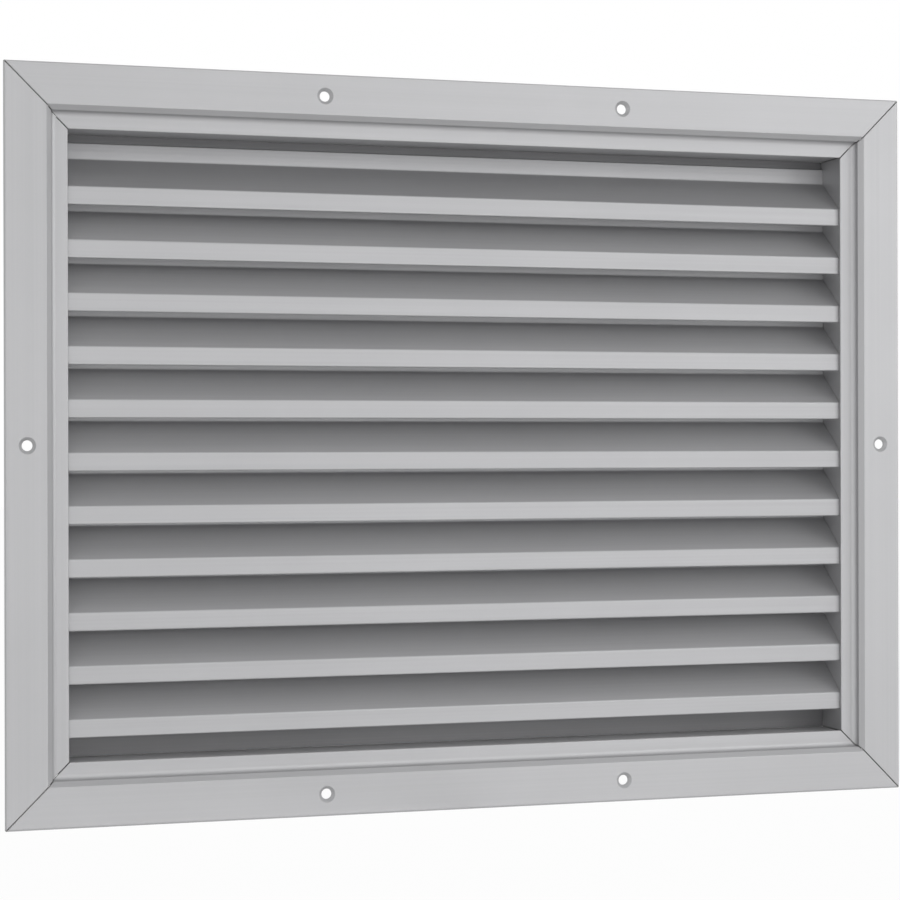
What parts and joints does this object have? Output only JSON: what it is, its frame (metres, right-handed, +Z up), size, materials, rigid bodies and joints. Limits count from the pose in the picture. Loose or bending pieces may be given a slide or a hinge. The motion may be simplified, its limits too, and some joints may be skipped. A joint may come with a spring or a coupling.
{
  "type": "louvred wall grille",
  "caption": "Rectangular aluminium wall grille with a mitred stepped frame, countersunk screw holes in its flange and fixed sloping Z blades that shed rain and hide the duct behind.",
  "frame": {"origin": "centre of the screw holes on the wall plane, which is the flange's back face", "axes": "+X along the width to the right seen from the front, +Y into the wall, +Z up"},
  "size_m": [0.456, 0.0305, 0.356],
  "materials": {
    "frame_extrusion": "satin, light grey",
    "blade_extrusion": "satin, light grey",
    "strip_metal": "satin, light grey",
    "key_metal": "plain mill finish"
  },
  "bodies": {
    "root": {"frame_top": "frame_extrusion", "frame_bottom": "frame_extrusion", "frame_left": "frame_extrusion", "frame_right": "frame_extrusion", "key_top_left": "key_metal", "key_top_right": "key_metal", "key_bottom_left": "key_metal", "key_bottom_right": "key_metal", "blade_01": "blade_extrusion", "blade_02": "blade_extrusion", "blade_03": "blade_extrusion", "blade_04": "blade_extrusion", "blade_05": "blade_extrusion", "blade_06": "blade_extrusion", "blade_07": "blade_extrusion", "blade_08": "blade_extrusion", "blade_09": "blade_extrusion", "blade_10": "blade_extrusion", "blade_11": "blade_extrusion", "head_strip": "strip_metal", "sill_strip": "strip_metal"}
  },
  "joints": []
}
